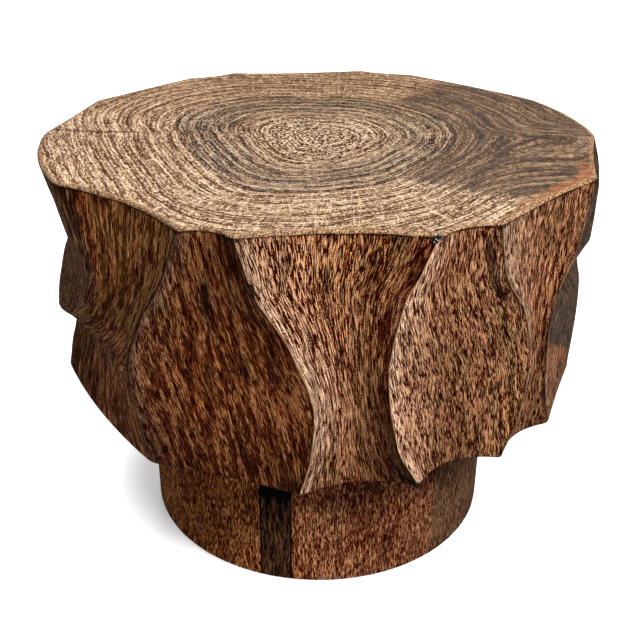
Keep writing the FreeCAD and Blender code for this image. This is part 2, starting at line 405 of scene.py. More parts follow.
def fibresOf(wire, grain, look, finer=0.0):
    # the shared fibres in one wood's sizes
    return wire.group(grainFibres, Vector=grain, Width=look["strokeWidth"], Length=look["strokeLength"],
                      Waver=look["waver"], Finer=finer)


# Side wood: fibres that follow the carving, painted light and sheen by flank, dark stains, crisp ridges
# with painted shade beside them, and a charred lens on the right

sideLook = {
    "pore": paint(28, 3, 1),
    # the stains' colour, also used for the painted shade beside the ridges and under the rim
    "stain": paint(34, 8, 4),
    "crest": paint(206, 160, 120),
    "charcoal": colourStops((0.0, 8, 5, 4), (0.3, 30, 22, 17), (0.6, 68, 52, 41), (1.0, 142, 114, 92)),
    "glintThreads": (1250.0, 26.0, 1.0),
    "jags": (260.0, 60.0, 1.0),
    "litFlankWidth": (0.005, 0.018),
    "ridgeShadeLine": (0.0014, 0.0046),
    "paleLine": (0.0002, 0.0026),
    "rimReach": 0.0045,
    "rimShadeLine": (-0.0008, 0.0006),
    "footShade": (0.17, 0.262, 1.0, 0.72),
    "stainEdge": (0.05, 0.85),
    "charEdge": (0.42, 0.58),
    "depths": {"pore": 0.6, "streak": 0.35, "stain": 0.88, "ridgeShadeLine": 0.82, "rimShadeLine": 0.8},
    "strokeWidth": 0.00084,
    "strokeLength": 0.0105,
    "waver": 0.005,
    "relief": 0.0007,
    "roughness": 0.55,
    "specular": 0.04,
}


def makeDrumSideWood():
    look, depths = sideLook, sideLook["depths"]
    material, wire, surface = newMaterial("drumSideWood", look["roughness"], look["specular"])
    grain, place = wire.grain(), wire.place()
    # the tone attribute: painted light, painted sheen and the wood's red
    light, paintedSheen, red = wire.split(wire.attribute("tone", "Vector"))
    fromLeft, fromRight, stain = wire.split(wire.attribute("edges", "Vector"))
    rimGap = wire.attribute("rimGap")
    fibres = fibresOf(wire, grain, look, wire.between(wire.attribute("spread"), 0.9, 1.5))
    fibre, pore = fibres["Fibre"], fibres["Pore"]
    drift = wire.group(toneDrift, Vector=place, Size=0.06, Seed=2.0)
    warm = wire.group(toneDrift, Vector=place, Size=0.09, Seed=9.0)
    crumb = wire.noise(place, scale=520, detail=1) - 0.5

    # painted glints: pale threads replace the strokes on the lit flank beside each panel's left ridge, which
    # also gets more painted sheen; contrast is steepest at middle paleness
    litFlank = wire.below(fromLeft, *look["litFlankWidth"])
    glintThreads = (wire.stretched(grain, look["glintThreads"], 1) * 1.7 - 0.82) * paintedSheen * litFlank
    steeper = paintedSheen * (1 - paintedSheen) * 2.6 + 1
    banded = (fibre - 0.5) * steeper + (fibres["Band"] - 0.5) * 0.5 + glintThreads + paintedSheen * 0.14 + 0.51
    level = wire.clamp(banded - drift["Tone"] * 0.16)
    redder = wire.clamp(red + warm["Tone"] * 0.5 + fibres["Cast"] * 0.9 - 0.7)
    colour = wire.group(woodColour, Fibre=level, Red=redder, Pale=wire.clamp(paintedSheen + litFlank * 0.3))["Color"]
    for mask in (pore * depths["pore"], drift["Streak"] * depths["streak"]):
        colour = wire.mix(mask, colour, look["pore"])

    # stains follow the fibres at their borders
    edge = stain - (fibre - 0.5) * 0.6
    colour = wire.mix(wire.between(edge, *look["stainEdge"]) * depths["stain"], colour, look["stain"])

    # painted shade: a dark line in the angle beside each ridge; and a fine pale line on its crest, partly
    # wear and partly painted highlight, stronger with the painted sheen
    line = wire.below(fromRight + crumb * 0.0022, *look["ridgeShadeLine"])
    line = line * wire.between(drift["Tone"], 0.1, 0.6, 1.0, 0.65)
    colour = wire.mix(line * depths["ridgeShadeLine"], colour, look["stain"])
    crest = wire.below(fromLeft + crumb * 0.002, *look["paleLine"])
    colour = wire.mix(crest * (paintedSheen * 0.4 + 0.32), colour, look["crest"])

    # the charred lens, ragged along the grain
    char = (wire.stretched(grain, look["jags"], 3) - 0.5) * 0.9 + wire.attribute("charred")
    burnt = wire.ramp(wire.between(fromLeft, 0.004, 0.03) * 0.5 + fibre * 1.7 - 0.93, look["charcoal"])
    colour = wire.mix(wire.between(char, *look["charEdge"]), colour, burnt)

    # painted shade under the worn rim: a thin broken dark line, smudged at the ridges
    nearRidge = wire.below(wire.maths("MINIMUM", fromLeft, fromRight), 0.0, 0.014)
    reach = nearRidge * 0.0022 + crumb * 0.003 + look["rimReach"]
    rimShadeLine = wire.below(rimGap - reach, *look["rimShadeLine"]) * depths["rimShadeLine"]
    colour = wire.mix(rimShadeLine, colour, look["stain"])
    # painted light and shade: each flank's painted light, and painted shade towards the drum's foot, scale
    # the colour
    light = light * wire.between(rimGap, *look["footShade"])
    wire.feed(surface["Base Color"], wire.scale(colour, light))
    wire.feed(surface["Roughness"], fibre * -0.12 + (look["roughness"] + 0.1))
    addRelief(wire, surface, fibre - pore * 0.7, look["relief"])
    return material


# End grain: rings about the heart of the log, black lines, light rays and a grey-brown quarter on the right

ringLook = {
    "heart": (0.003, -0.013),
    "unit": 0.305,
    # azimuth about the heart, and the outermost black ring's radius there as a share of the unit
    "ringShape": [
        (-180, 0.535), (-165, 0.565), (-144, 0.607), (-122, 0.605), (-106, 0.567), (-94, 0.51),
        (-73, 0.478), (-56, 0.487), (-39, 0.536), (-22, 0.58), (-7, 0.561), (12, 0.518), (31, 0.472),
        (50, 0.431), (72, 0.432), (97, 0.468), (118, 0.498), (147, 0.532), (165, 0.546), (180, 0.535),
    ],
    "cusps": (-94, 97),
    "ringCount": 160.0,
    # width in rings, length in millimetres and seed
    "lineRows": ((5.6, 95.0, 0.0), (2.3, 34.0, 4.7), (1.3, 7.0, 8.1)),
    "blackRings": ((1.0, 0.018, 0.95), (0.83, 0.026, 0.85), (0.68, 0.011, 0.5), (0.51, 0.014, 0.65)),
    "cream": colourStops((0.0, 64, 34, 22), (0.3, 116, 76, 54), (0.6, 184, 145, 110), (0.82, 231, 198, 162),
                         (1.0, 255, 230, 196)),
    "grey": colourStops((0.0, 30, 26, 26), (0.35, 92, 76, 64), (0.65, 148, 126, 107), (1.0, 220, 190, 158)),
    "brown": colourStops((0.0, 64, 47, 36), (0.4, 98, 77, 60), (0.75, 122, 98, 79), (1.0, 168, 138, 110)),
    "ink": paint(26, 24, 26),
    "dusk": paint(70, 64, 60),
    "rust": (paint(128, 66, 42), paint(186, 128, 88)),
    "seam": paint(70, 36, 28),
    "rim": (paint(84, 54, 38), paint(206, 164, 120)),
    "backTint": (0.72, 0.58, 0.46),
    "drawnFrom": (math.radians(35), math.radians(78)),
    "drawnTo": (math.radians(91), math.radians(108)),
    "drawnShare": 0.34,
    "bands": ((5.2, 0.16), (13.0, 0.2)),
    "greyZone": ((0.5, 0.66), (0.98, 1.03)),
    "backShade": (0.02, 0.2),
    "sideLight": (-0.24, -0.06, 0.97, 0.79),
    "rimBand": (-0.0042, 0.0),
    "seamAzimuth": math.radians(-93.5),
    "quarterEnd": (math.radians(142), math.radians(147)),
    "depths": {"back": 0.55, "quarter": 0.9, "rust": 0.75, "rim": 0.85},
    "relief": 0.0006,
    "roughness": 0.6,
    "specular": 0.15,
}


def makeRingShape(wire, azimuth):
    # the black ring's radius by azimuth, as a share of the unit
    node = wire.add("ShaderNodeFloatCurve", {"Value": azimuth * (0.5 / math.pi) + 0.5})
    curve = node.mapping.curves[0]
    points = ringLook["ringShape"]
    while len(curve.points) < len(points):
        curve.points.new(0.5, 0.5)
    for point, (angle, radius) in zip(curve.points, points):
        point.location = (angle / 360 + 0.5, radius)
        point.handle_type = "VECTOR" if angle in ringLook["cusps"] else "AUTO"
    node.mapping.update()
    return Signal(wire, node.outputs[0])


def makeEndGrainWood():
    look, depths = ringLook, ringLook["depths"]
    material, wire, surface = newMaterial("endGrainWood", look["roughness"], look["specular"])
    place = wire.place()
    across, deep = wire.split(place)[:2]
    rimGap = wire.attribute("rimGap")
    sideways, forwards = across - look["heart"][0], deep - look["heart"][1]
    azimuth = wire.maths("ARCTAN2", sideways, -forwards)
    reach = wire.vectors("LENGTH", wire.join(sideways, forwards))
    radius = reach / look["unit"]
    slow, quick = [wire.noise(place, scale=scale, detail=1) - 0.5 for scale in (16, 60)]
    ring = radius / makeRingShape(wire, azimuth) + quick * 0.008 + slow * 0.024

    # the outer rings are drawn out to a point on the right
    drawn = wire.between(azimuth, *look["drawnFrom"]) * wire.below(azimuth, *look["drawnTo"])
    drawn = drawn * wire.between(radius, 0.44, 1.0)
    ring = ring * (1 - drawn * look["drawnShare"])

    # broken lines along the rings, coarse to fine, and a crumb of pores over them
    ringRow = ring * look["ringCount"]
    inPlane = [sideways * 1000, forwards * 1000]
    rows = []
    for cell, run, seed in look["lineRows"]:
        vector = wire.join(inPlane[0] / run, inPlane[1] / run, ringRow / cell + seed)
        rows.append(wire.noise(vector, detail=0.6))
    inHeart = wire.below(ring, 0.3, 0.6)
    mottle = (wire.noise(place, scale=330, detail=1) - 0.5) * (inHeart * 3.4 + 0.6)
    total = rows[0] * 0.9 + rows[1] * 1.3 + rows[2] * 2.2
    total = total + wire.noise(place, scale=850, detail=0) * 1.9 + mottle
    for period, strength in look["bands"]:
        phase = ringRow * (math.tau / period) + (rows[0] + slow) * 3.5
        total = total + wire.maths("SINE", phase) * strength
    lines = wire.between(total, inHeart * 0.3 + 2.22, inHeart * -0.3 + 4.08)

    # light rays from the heart outwards, short and broken, strongest at the front and the back
    heading = [sideways / reach, forwards / reach]
    rays = wire.noise(wire.join(heading[0] * 34, heading[1] * 34, radius * 7), detail=1.5)
    rays = wire.below(abs(rays - 0.52), 0.006, 0.034) * wire.between(abs(heading[1]), 0.55, 0.95, 0.12, 1.0)
    lines = wire.clamp(lines + rays * wire.between(ring, 0.95, 1.12) * 0.4)

    # tone by ring: pale heart, blue-grey zone with black lines, cream and mauve outside
    inner, outer = look["greyZone"]
    greyZone = wire.between(ring, *inner) * wire.below(ring, *outer)
    patches = wire.between(wire.noise(place, scale=36, detail=2), 0.42, 0.6)
    colour = wire.mix(greyZone * (patches * 0.38 + 0.42), wire.ramp(lines, look["cream"]),
                      wire.ramp(lines, look["grey"]))
    jagged = ring + (wire.noise(place, scale=210, detail=2) - 0.5) * 0.05
    broken = wire.between(wire.noise(place, scale=44, detail=1), 0.4, 0.52)
    for middle, width, strength in look["blackRings"]:
        mask = wire.below(abs(jagged - middle), width * 0.35, width) * broken
        mask = mask * wire.between(lines, 0.35, 0.9, strength, strength * 0.35)
        colour = wire.mix(mask, colour, look["ink"])

    # painted shade: darker and redder towards the back, and darker everywhere but the left, where it is
    # lightest
    backward = wire.between(deep, *look["backShade"]) * depths["back"]
    colour = wire.mix(backward, colour, wire.vectors("MULTIPLY", colour, look["backTint"]))
    colour = wire.scale(colour, wire.between(across, *look["sideLight"]))

    # the grey-brown quarter between two azimuths, with a reddish strip left along the rim
    angle = azimuth + (slow + quick) * 0.16 - lines * 0.12
    quarter = wire.between(angle - radius * 0.756 - 0.07, -0.07, 0.07)
    quarter = quarter * wire.below(angle, *look["quarterEnd"]) * wire.between(ring, 0.96, 1.04)
    strip = wire.between(rimGap + quick * 0.02, -0.015, -0.011)
    strip = strip * wire.between(angle, 0.62, 0.8) * wire.below(angle, 1.15, 1.35)
    dark = wire.between(wire.noise(wire.join(inPlane[0], ringRow * 2.2), scale=0.03, detail=2), 0.5, 0.6)
    dusk = wire.ramp(wire.clamp(lines - dark * 0.3), look["brown"])
    colour = wire.mix(quarter * depths["quarter"], colour, wire.mix(dark * 0.35, dusk, look["dusk"]))
    colour = wire.mix(strip * depths["rust"], colour, wire.mix(lines, *look["rust"]))

    # a thin dark seam on the left, where two stems grew together
    seam = abs(azimuth - look["seamAzimuth"] + slow * 0.05) * reach
    seam = wire.between(seam, 0.0008, 0.0034, 0.85, 0.0) * wire.between(ring, 1.2, 1.35)
    colour = wire.mix(seam, colour, look["seam"])

    # the worn rim, speckled
    speckle = wire.between(wire.noise(place, scale=560, detail=1), 0.4, 0.62)
    worn = wire.between(rimGap, *look["rimBand"]) * depths["rim"]
    colour = wire.mix(worn, colour, wire.mix(speckle, *look["rim"]))
    wire.feed(surface["Base Color"], colour)
    wire.feed(surface["Roughness"], lines * -0.1 + (look["roughness"] + 0.06))
    addRelief(wire, surface, lines, look["relief"])
    return material


# Plinth wood: the same timber, turned, with finer and more even strokes

plinthLook = {
    "pore": paint(24, 8, 4),
    "grey": colourStops((0.0, 54, 28, 14), (0.5, 99, 67, 45), (1.0, 157, 122, 92)),
    "greyFrom": (math.radians(40) - 0.02, math.radians(40) + 0.02),
    "greyTo": (1.9, 2.0),
    "sideLight": (-0.3, 0.4, 1.27, 0.7),
    "depths": {"pore": 0.6, "streak": 0.3, "grey": 0.8},
    "strokeWidth": 0.00092,
    "strokeLength": 0.0085,
    "waver": 0.009,
    "relief": 0.0006,
    "roughness": 0.58,
    "specular": 0.03,
}


def makePlinthWood():
    look, depths = plinthLook, plinthLook["depths"]
    material, wire, surface = newMaterial("plinthWood", look["roughness"], look["specular"])
    place = wire.place()
    across, deep = wire.split(place)[:2]
    azimuth = wire.maths("ARCTAN2", across, -deep)
    fibres = fibresOf(wire, wire.grain(), look)
    drift = wire.group(toneDrift, Vector=place, Size=0.06, Seed=5.0)
    behind = wire.between(abs(azimuth), 1.5, 2.7)
    ahead = 1 - behind
    # rosier from the front round to the right: redder wood, with a little painted sheen
    rosy = wire.between(azimuth, -0.3, 0.05) * ahead + behind * 0.5
    level = wire.clamp((fibres["Band"] - 0.5) * 0.22 + fibres["Fibre"] - drift["Tone"] * 0.2 + 0.07)
    colour = wire.group(woodColour, Fibre=level, Red=rosy * 0.4 + 0.6, Pale=rosy * 0.22)["Color"]
    for mask in (fibres["Pore"] * depths["pore"], drift["Streak"] * depths["streak"]):
        colour = wire.mix(mask, colour, look["pore"])
    greySide = wire.between(azimuth, *look["greyFrom"]) * wire.below(azimuth, *look["greyTo"])
    colour = wire.mix(greySide * depths["grey"], colour, wire.ramp(level, look["grey"]))
    # painted light and shade round the plinth by azimuth, a little darker behind
    light = wire.between(azimuth, *look["sideLight"]) * ahead + behind * 0.9
    wire.feed(surface["Base Color"], wire.scale(colour, light))
    addRelief(wire, surface, fibres["Fibre"] - fibres["Pore"] * 0.7, look["relief"])
    return material


stripeLook = {
    "dark": colourStops((0.0, 6, 2, 1), (0.5, 56, 30, 14), (1.0, 122, 83, 55)),
    "black": paint(2, 2, 3),
    "halfWidth": 0.0185,
    "patches": (150.0, 34.0, 1.0),
    "blackPatches": (0.56, 0.62, 0.0, 0.85),
    "blackTop": (0.102, 0.113),
    "blackBorder": (0.0158, 0.0172, 0.0, 0.9),
    "strokeWidth": 0.0012,
    "strokeLength": 0.014,
    "waver": 0.008,
    "relief": 0.0005,
    "roughness": 0.6,
    "specular": 0.04,
}


def makeStripeWood():
    # nearly black wood, blackest at its top and its borders, with some brown grain left
    look = stripeLook
    material, wire, surface = newMaterial("stripeWood", look["roughness"], look["specular"])
    grain = wire.grain()
    fibre = fibresOf(wire, grain, look)["Fibre"]
    up = wire.split(wire.place())[2]
    patches = wire.stretched(grain, look["patches"], 3)
    fromMiddle = abs(wire.split(grain)[0] - look["halfWidth"])
    # black in patches, and blackest at its top and along its borders
    blackened = wire.between(patches, *look["blackPatches"])
    for mask in (wire.between(up + (patches - 0.5) * 0.11, *look["blackTop"]),
                 wire.between(fromMiddle + (patches - 0.5) * 0.004, *look["blackBorder"])):
        blackened = wire.maths("MAXIMUM", blackened, mask)
    wire.feed(surface["Base Color"], wire.mix(blackened, wire.ramp(fibre, look["dark"]), look["black"]))
    addRelief(wire, surface, fibre, look["relief"])
    return material


def makeFillerMaterial():
    # black resin with dust and small pale chips in it
    material, wire, surface = newMaterial("blackFiller", 0.7, 0.06)
    dust = wire.noise(wire.place(), scale=260, detail=3)
    chips = wire.between(wire.noise(wire.place(), scale=520, detail=1), 0.57, 0.62) * wire.attribute("chips")
    colour = wire.mix(wire.between(dust, 0.4, 0.7), paint(10, 7, 6), paint(52, 42, 36))
    wire.feed(surface["Base Color"], wire.mix(chips, colour, paint(176, 170, 164)))
    addRelief(wire, surface, dust, 0.0012)
    return material


def makeFeltMaterial():
    # dark brown felt: fine fibres without direction
    material, wire, surface = newMaterial("darkFelt", 0.95, 0.15)
    surface["Sheen Weight"].default_value = 0.35
    fibres = wire.noise(wire.place(), scale=900, detail=4, roughness=0.7, lean=1.2)
    wire.feed(surface["Base Color"], wire.mix(fibres, paint(38, 28, 22), paint(84, 66, 52)))
    addRelief(wire, surface, fibres, 0.0006)
    return material


def makeZincMaterial():
    # zinc-plated steel: dull spangle with fine turning marks
    material, wire, surface = newMaterial("zincSteel", 0.38, 0.5)
    surface["Metallic"].default_value = 1.0
    spangle = wire.noise(wire.place(), scale=240, detail=2)
    wire.feed(surface["Base Color"], wire.mix(spangle, paint(150, 152, 156), paint(206, 208, 210)))
    wire.feed(surface["Roughness"], wire.between(spangle, 0.3, 0.7, 0.3, 0.5))
    addRelief(wire, surface, wire.stretched(wire.place(), (60.0, 60.0, 2600.0), 1), 0.0001)
    return material


drumSideWood = makeDrumSideWood()
endGrainWood = makeEndGrainWood()
plinthWood = makePlinthWood()
stripeWood = makeStripeWood()
blackFiller = makeFillerMaterial()
darkFelt = makeFeltMaterial()
zincSteel = makeZincMaterial()
print("materials made:", len(bpy.data.materials))


# The drum: scooped panels between wavy ridges

drum = {
    "rimRadius": 0.3031,
    "lowerInset": 0.0025,
    "columns": 38,
    "sideRows": 104,
    "rimRound": 0.0028,
    "lowerRound": 0.003,
    "clustering": 0.42,
    "relief": 0.0005,
    "ridgeNicks": 0.0006,
    "socketRadius": 0.13025,
    "socketDepth": 0.04025,
    "ridgeReach": (0.05, 0.015),
    "ridgePasses": 5,
    "rimVaries": 0.28,
    "rimCell": (0.02, 0.02, 0.02),
    "fineCell": (0.007, 0.007, 0.026),
    "broadCell": (0.03, 0.03, 0.07),
    "nickCell": (0.02, 0.02, 0.011),
    "topShares": (0.985, 0.95, 0.88, 0.78, 0.66, 0.52, 0.38, 0.24, 0.1),
    "underShares": (0.0, 0.03, 0.3, 0.65, 0.93),
    "castPlaces": (0.04, 0.4, 0.92),
    "mapStep": 0.41,
}

# Each panel: the ridge on its left as (height share, azimuth), its hollow as (height share, depth as a
# share of the rim radius), how far its grain follows the ridges, the grain's slant, and the cast of its left
# flank, its hollow and its right flank as (painted light, painted sheen, red), each flank painted lighter or
# darker and paler by how it faces the light. In some also how much painted light (rise) and painted sheen
# (fade) it has at its foot, its middle and its rim, how far its strokes are stretched and widened, how its
# painted light leans to the right at the rim, and how far a streak of painted sheen leans to the right as it
# climbs.
panels = [
    # front left leaf
    dict(follow=0.4, slant=0.24, cast=[(0.7, 0.1, 1.0), (1.0, 0.0, 1.15), (0.9, 0.0, 0.9)],
         rise=(0.74, 1.0, 0.6),
         ridge=[(0, -34.1), (0.18, -37), (0.36, -38.2), (0.6, -33.8), (0.8, -27.8), (1, -23.9)],
         hollow=[(0, 0.012), (0.45, 0.022), (0.85, 0.026), (1, 0.03)]),
    # front waist
    dict(follow=0.9, cast=[(1.02, 0.85, 1.1), (1.18, 0.36, 1.05), (0.58, 0.1, 0.9)], rise=(0.84, 1.0, 0.9),
         fade=(0.4, 1.05, 0.5), stretch=1.35, lean=0.6, streak=0.58,
         ridge=[(0, -3.1), (0.15, -1.2), (0.32, -0.5), (0.6, -4.8), (0.8, -10.9), (1, -14.3)],
         hollow=[(0, 0.052), (0.45, 0.048), (0.85, 0.036), (1, 0.034)]),
    # front right leaf
    dict(follow=0.3, slant=0.13, cast=[(1.28, 0.75, 1.0), (0.76, 0.26, 0.95), (0.97, 0.26, 0.75)],
         rise=(1.04, 0.76, 1.14), fade=(0.75, 0.9, 1.05), widen=1.14,
         ridge=[(0, 19.2), (0.18, 14.6), (0.5, 12.1), (0.76, 14.3), (0.87, 17), (1, 19.9)],
         hollow=[(0, 0.066), (0.45, 0.03), (0.85, 0.03), (1, 0.028)]),
    # right waist
    dict(follow=0.62, cast=[(0.92, 0.66, 1.0), (0.93, 0.26, 1.0), (0.82, 0.15, 1.2)],
         rise=(0.85, 0.88, 0.84), fade=(1.0, 0.95, 1.0), stretch=1.2, widen=1.2,
         ridge=[(0, 38.9), (0.18, 43.6), (0.36, 44.6), (0.6, 41.2), (0.8, 34.4), (1, 31.6)],
         hollow=[(0, 0.042), (0.45, 0.03), (0.85, 0.02), (1, 0.012)]),
    # right lens
    dict(follow=0.5, charred=1.0, cast=[(0.95, 0.25, 0.9), (0.95, 0.25, 0.8), (0.9, 0.2, 0.7)],
         ridge=[(0, 56), (0.2, 52), (0.48, 49.7), (0.66, 51.6), (0.76, 57.2), (0.86, 60.2), (1, 64)],
         hollow=[(0, 0.004), (0.45, 0.01), (0.85, 0.01), (1, 0.01)]),
    # right notch
    dict(follow=0.5, cast=[(0.9, 0.3, 0.6), (0.85, 0.2, 0.6), (0.85, 0.2, 0.5)],
         ridge=[(0, 82), (0.27, 80.5), (0.4, 83), (0.52, 94), (0.62, 80), (0.7, 75), (0.85, 76), (1, 91)],
         hollow=[(0, 0.03), (0.45, 0.03), (0.8, 0.0), (1, -0.018)]),
    # back right leaf
    dict(follow=0.35, slant=0.05, cast=[(1.0, 0.5, 0.6), (0.9, 0.3, 0.6), (0.9, 0.2, 0.5)],
         ridge=[(0, 108), (0.5, 100), (1, 112)],
         hollow=[(0, 0.03), (0.45, 0.025), (0.8, 0.012), (1, -0.006)]),
    # back right waist
    dict(follow=0.85, cast=[(1.1, 0.9, 0.7), (0.95, 0.5, 0.7), (0.8, 0.15, 0.5)],
         ridge=[(0, 131), (0.36, 137), (0.75, 128.5), (1, 121.8)],
         hollow=[(0, 0.045), (0.45, 0.04), (0.8, 0.022), (1, -0.012)]),
    # back leaf
    dict(follow=0.35, slant=-0.1, cast=[(1.1, 0.7, 0.6), (0.9, 0.4, 0.6), (0.9, 0.2, 0.45)],
         ridge=[(0, 153), (0.5, 146), (0.75, 149), (1, 157)],
         hollow=[(0, 0.02), (0.45, 0.025), (0.8, 0.026), (1, 0.016)]),
    # back waist
    dict(follow=0.85, cast=[(1.1, 0.9, 0.7), (0.95, 0.5, 0.7), (0.8, 0.15, 0.5)],
         ridge=[(0, 177), (0.36, 182.5), (0.75, 175), (1, 170)],
         hollow=[(0, 0.045), (0.45, 0.045), (0.8, 0.034), (1, 0.018)]),
    # back left leaf
    dict(follow=0.35, slant=0.14, cast=[(1.1, 0.6, 0.5), (0.9, 0.35, 0.5), (0.9, 0.1, 0.4)],
         ridge=[(0, 198), (0.5, 191.5), (0.75, 196), (1, 203.3)],
         hollow=[(0, 0.03), (0.45, 0.025), (0.8, 0.024), (1, 0.016)]),
    # back left waist
    dict(follow=0.85, cast=[(1.05, 0.8, 0.7), (0.95, 0.4, 0.7), (0.8, 0.1, 0.45)],
         ridge=[(0, 222), (0.36, 228), (0.75, 220), (1, 215)],
         hollow=[(0, 0.045), (0.45, 0.04), (0.8, 0.024), (1, 0.0)]),
    # left leaf
    dict(follow=0.34, cast=[(0.9, 0.15, 0.4), (0.88, 0.1, 0.4), (0.85, 0.05, 0.35)],
         ridge=[(0, 243), (0.5, 237), (0.75, 239), (1, 244)],
         hollow=[(0, 0.03), (0.45, 0.025), (0.85, 0.016), (1, 0.002)]),
    # left teardrop
    dict(follow=0.4, cast=[(0.9, 0.12, 0.4), (0.9, 0.1, 0.35), (0.86, 0.08, 0.3)],
         ridge=[(0, 255), (0.24, 252), (0.45, 262), (0.6, 258), (0.85, 262), (1, 270.5)],
         hollow=[(0, 0.03), (0.2, 0.008), (0.34, -0.015), (0.42, -0.035), (0.51, -0.044),
                 (0.61, -0.032), (0.8, -0.047), (1, -0.039)]),
    # left waist
    dict(follow=0.6, cast=[(0.68, 0.0, 0.45), (1.07, 0.0, 0.38), (1.07, 0.05, 0.3)], rise=(1.7, 1.1, 1.0),
         ridge=[(0, 279), (0.1, 267), (0.18, 263), (0.25, 267), (0.36, 286), (0.49, 304), (0.7, 311.5),
                (1, 303)], hollow=[(0, -0.028), (0.2, -0.004), (0.45, 0.02), (0.85, 0.03), (1, 0.044)]),
]

# Dark stains: panel number, place across it, height share, half width, half height and depth of colour.
stains = [
    (0, 0.45, 0.8, 0.006, 0.022, 0.6), (0, 0.43, 0.74, 0.008, 0.018, 0.8),
    (0, 0.46, 0.66, 0.007, 0.018, 0.6), (0, 0.49, 0.59, 0.006, 0.012, 0.4),
    (0, 0.61, 0.52, 0.006, 0.02, 0.5), (0, 0.66, 0.46, 0.005, 0.02, 0.9), (0, 0.82, 0.46, 0.007, 0.012, 0.6),
    (0, 0.47, 0.44, 0.006, 0.012, 0.5), (0, 0.41, 0.36, 0.006, 0.014, 0.4),
    (0, 0.83, 0.72, 0.008, 0.01, 0.5), (0, 0.57, 0.24, 0.008, 0.02, 0.4), (0, 0.72, 0.18, 0.006, 0.015, 0.4),
    (1, 0.47, 0.86, 0.004, 0.012, 0.8), (1, 0.46, 0.82, 0.004, 0.012, 0.7),
    (1, 0.66, 0.9, 0.0034, 0.028, 0.9), (1, 0.72, 0.88, 0.003, 0.024, 0.7),
    (1, 0.97, 0.87, 0.005, 0.007, 1.0), (1, 0.53, 0.75, 0.004, 0.012, 0.6),
    (1, 0.62, 0.65, 0.004, 0.014, 0.4), (1, 0.72, 0.37, 0.006, 0.02, 0.3), (1, 0.3, 0.62, 0.004, 0.016, 0.4),
    (2, 0.83, 0.92, 0.006, 0.014, 0.8), (2, 0.86, 0.85, 0.007, 0.022, 0.8),
    (2, 0.72, 0.76, 0.004, 0.01, 0.5), (2, 0.88, 0.76, 0.005, 0.014, 0.7),
    (2, 0.89, 0.71, 0.006, 0.012, 0.9), (2, 0.89, 0.52, 0.004, 0.014, 0.7),
    (2, 0.73, 0.58, 0.004, 0.008, 0.6), (2, 0.79, 0.3, 0.007, 0.006, 0.9),
    (2, 0.87, 0.33, 0.005, 0.008, 0.8), (2, 0.29, 0.3, 0.012, 0.006, 0.7),
    (2, 0.38, 0.32, 0.008, 0.007, 0.6), (2, 0.98, 0.72, 0.003, 0.04, 0.9),
    (3, 0.02, 0.74, 0.003, 0.035, 0.8), (3, 0.77, 0.16, 0.006, 0.02, 0.4), (9, 0.4, 0.7, 0.01, 0.03, 0.5),
    (8, 0.6, 0.4, 0.008, 0.02, 0.6), (12, 0.5, 0.6, 0.01, 0.02, 0.5), (14, 0.36, 0.85, 0.004, 0.024, 0.7),
    (14, 0.14, 0.9, 0.006, 0.03, 0.6), (14, 0.05, 0.86, 0.005, 0.026, 1.0),
    (14, 0.07, 0.73, 0.006, 0.018, 0.9), (14, 0.05, 0.95, 0.006, 0.014, 0.8),
    (14, 0.62, 0.55, 0.004, 0.03, 0.4), (14, 0.5, 0.78, 0.005, 0.022, 0.5),
    (6, 0.55, 0.65, 0.008, 0.024, 0.5), (10, 0.35, 0.35, 0.008, 0.024, 0.5),
]


def eachPanel(name, default=None):
    # one setting of every panel
    return np.array([panel.get(name, default) for panel in panels])


def panelCurves(name, shares):
    # a curve of every panel at some height shares, as (shares, panels)
    return np.stack([steadyCurve(panel[name], shares) for panel in panels], 1)


def stainDepth(places, shares, widths, height):
    # the sum of bell-shaped spots over the panels, from 0 to 1
    depth = np.zeros((len(shares), len(panels), len(places)))
    for panel, place, share, halfWidth, halfHeight, strength in stains:
        across = (places[None] - place) * widths[:, panel, None] / halfWidth
        up = (shares[:, None] - share) * height / halfHeight
        depth[:, panel] += strength * np.exp(-across ** 2 - up ** 2)
    return np.minimum(depth, 1)


def drumOutlines(shares, places):
    # points (rows, panels, places, 2): each panel's chord between its ridges, sunk by a parabola of its
    # hollow's depth
    azimuths = panelCurves("ridge", shares)
    azimuths = np.radians(np.concatenate([azimuths, azimuths[:, :1] + 360], 1))
    depths = drum["rimRadius"] * panelCurves("hollow", shares)
    radii = (drum["rimRadius"] - drum["lowerInset"] * (1 - shares))[:, None]
    corners = onCircle(radii, azimuths)
    left, right = corners[:, :-1, None], corners[:, 1:, None]
    inward = -onCircle(1, (azimuths[:, :-1] + azimuths[:, 1:]) / 2)[:, :, None]
    sag = (depths[:, :, None] * 4 * places * (1 - places))[..., None]
    points = left + (right - left) * places[None, None, :, None] + inward * sag
    return points, np.linalg.norm(corners[:, 1:] - corners[:, :-1], axis=-1)


def panelPlaces():
    # places across a panel from 0 to 1, closer together near its ridges
    even = np.linspace(0, 1, drum["columns"] + 1)
    share = drum["clustering"]
    return (1 - share) * even + share * (0.5 - 0.5 * np.cos(math.pi * even))


def setDrumGrain(piece, places, widths, upGrid, padded):
    # grain map: across each panel by its own width, drawn together where the grain follows the ridges
    follow, slant = eachPanel("follow"), eachPanel("slant", 0.0)[None, :, None]
    offset = (np.arange(len(panels)) * drum["mapStep"])[None, :, None]
    spread = (widths / widths.mean(0)) ** follow
    mapWidths = widths / spread / eachPanel("widen", 1.0)
    across = (places - 0.5) * mapWidths[:, :, None] + offset + slant * (upGrid - drumLow.z)
    up = upGrid / eachPanel("stretch", 1.0)[None, :, None] + offset * 0.3
    setGrain(piece, cornerValues(padded(np.stack([across, up], -1))))
    setCorners(piece, "spread", "FLOAT", cornerValues(padded(
        np.broadcast_to(spread[:, :, None], upGrid.shape)[..., None])))


